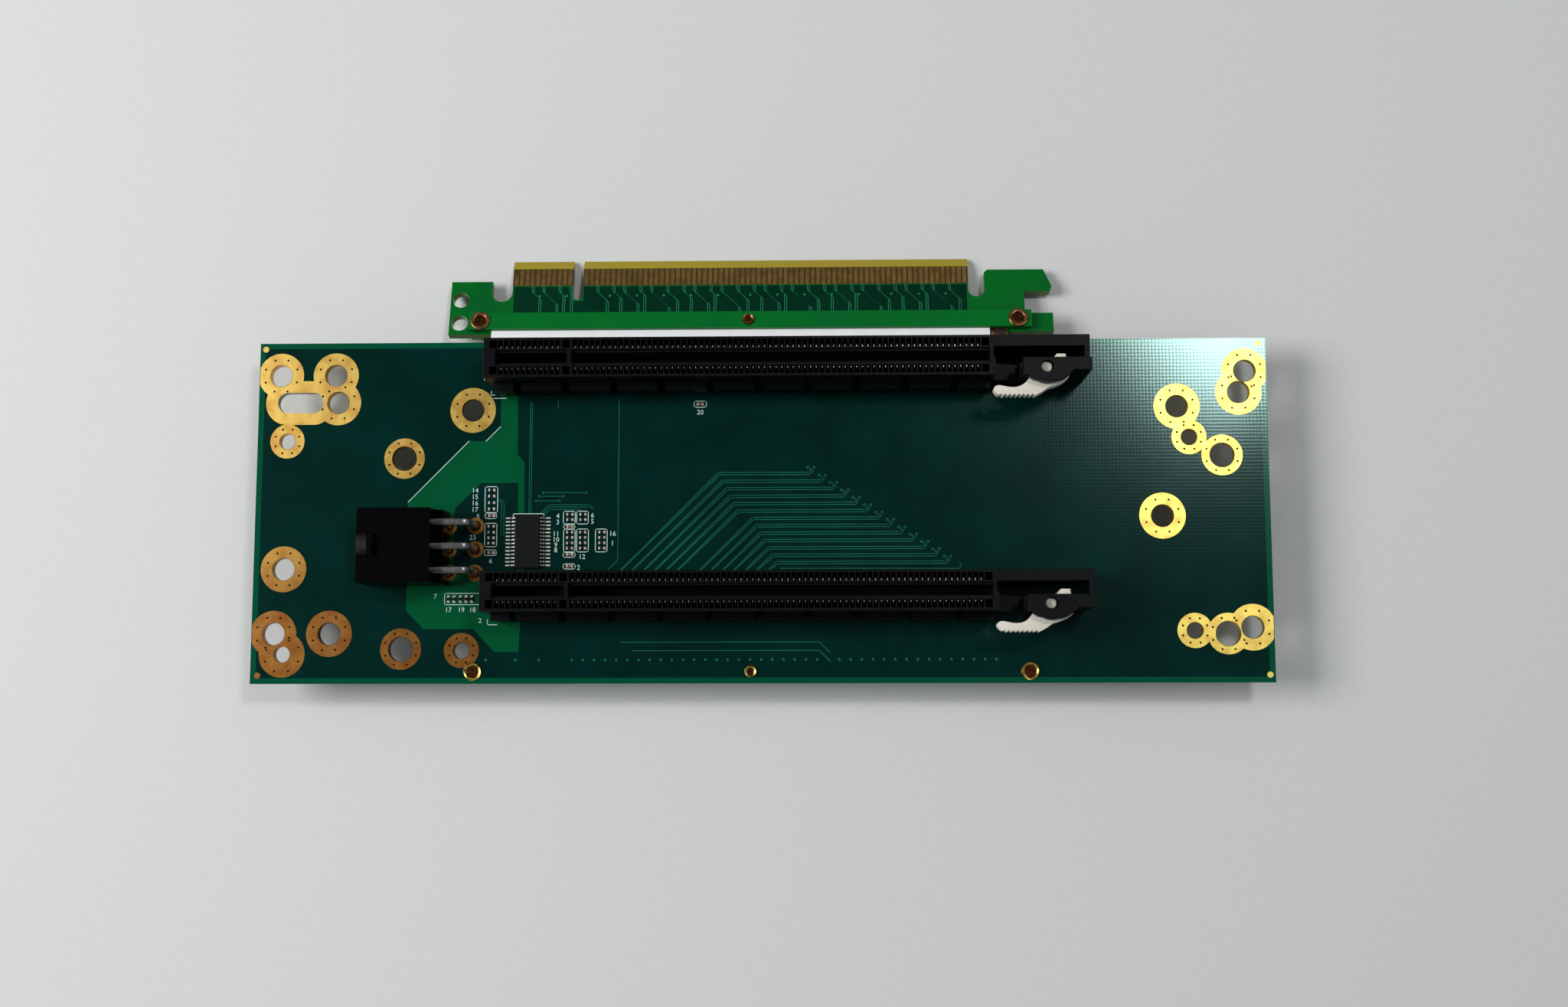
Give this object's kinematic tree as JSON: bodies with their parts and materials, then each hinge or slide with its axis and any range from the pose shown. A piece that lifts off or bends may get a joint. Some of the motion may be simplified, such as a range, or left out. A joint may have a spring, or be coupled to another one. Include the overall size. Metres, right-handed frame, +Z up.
{
  "type": "riser card",
  "caption": "Expansion riser card: a long board with latched card slots and a power header, tied by a flat foil ribbon to a plug card with gold fingers.",
  "frame": {"origin": "centre of the footprint, on the surface the part lies on", "axes": "+X along the slots towards their latch levers, +Y towards the plug card's fingers, +Z up through the slot mouths"},
  "size_m": [0.1808, 0.0785, 0.0235],
  "materials": {
    "board_green": "dark green solder mask over glass-fibre laminate, glossy",
    "card_green": "green solder mask, glossy",
    "strip_green": "light green laminate, satin",
    "slot_nylon": "glass-filled nylon, moulded, fine matt",
    "lever_nylon": "natural nylon, moulded, satin",
    "header_nylon": "black nylon, moulded, satin",
    "contact_gold": "thin gold over nickel on phosphor bronze",
    "finger_gold": "hard gold plating, worn",
    "pin_tin": "bright tin plating",
    "chip_black": "moulded epoxy, fine matt",
    "lead_tin": "matt tin plating and solder",
    "resistor_ceramic": "glazed ceramic with tinned ends",
    "capacitor_ceramic": "brown ceramic with tinned ends",
    "eyelet_bronze": "rolled metal eyelet, dull",
    "eyelet_gold": "rolled metal eyelet, bright",
    "ribbon_foil": "thin foil, slightly wrinkled, satin",
    "ribbon_film": "dark amber film over a woven shield"
  },
  "bodies": {
    "riser": {"board_eyelet_left": "eyelet_gold", "board_eyelet_middle": "eyelet_gold", "board_eyelet_right": "eyelet_gold", "board_strip": "strip_green", "card_eyelet_left": "eyelet_bronze", "card_eyelet_middle": "eyelet_bronze", "card_eyelet_right": "eyelet_bronze", "card_strip_back": "strip_green", "card_strip_front": "strip_green", "chip_capacitors": "capacitor_ceramic", "chip_leads": "lead_tin", "chip_package": "chip_black", "chip_resistors": "resistor_ceramic", "edge_card": "card_green", "edge_fingers_top": "finger_gold", "main_board": "board_green", "power_header_housing": "header_nylon", "power_pins_lower": "pin_tin", "power_pins_upper": "pin_tin", "ribbon_film": "ribbon_film", "ribbon_lower": "ribbon_foil", "ribbon_upper": "ribbon_foil", "slot_1_contacts_back": "contact_gold", "slot_1_contacts_front": "contact_gold", "slot_1_housing": "slot_nylon", "slot_2_contacts_back": "contact_gold", "slot_2_contacts_front": "contact_gold", "slot_2_housing": "slot_nylon"},
    "slot_1_latch": {"slot_1_latch_lever": "lever_nylon"},
    "slot_2_latch": {"slot_2_latch_lever": "lever_nylon"}
  },
  "joints": [
    {"name": "slot_1_latch_hinge", "type": "hinge", "parent": "riser", "child": "slot_1_latch", "pos_m": [0.0499, 0.0146, 0.01998], "axis": [0, 0, 1], "range_deg": [-8, 0], "stiffness_Nm_per_rad": 0.002},
    {"name": "slot_2_latch_hinge", "type": "hinge", "parent": "riser", "child": "slot_2_latch", "pos_m": [0.0499, -0.02604, 0.01998], "axis": [0, 0, 1], "range_deg": [-8, 0], "stiffness_Nm_per_rad": 0.002}
  ]
}
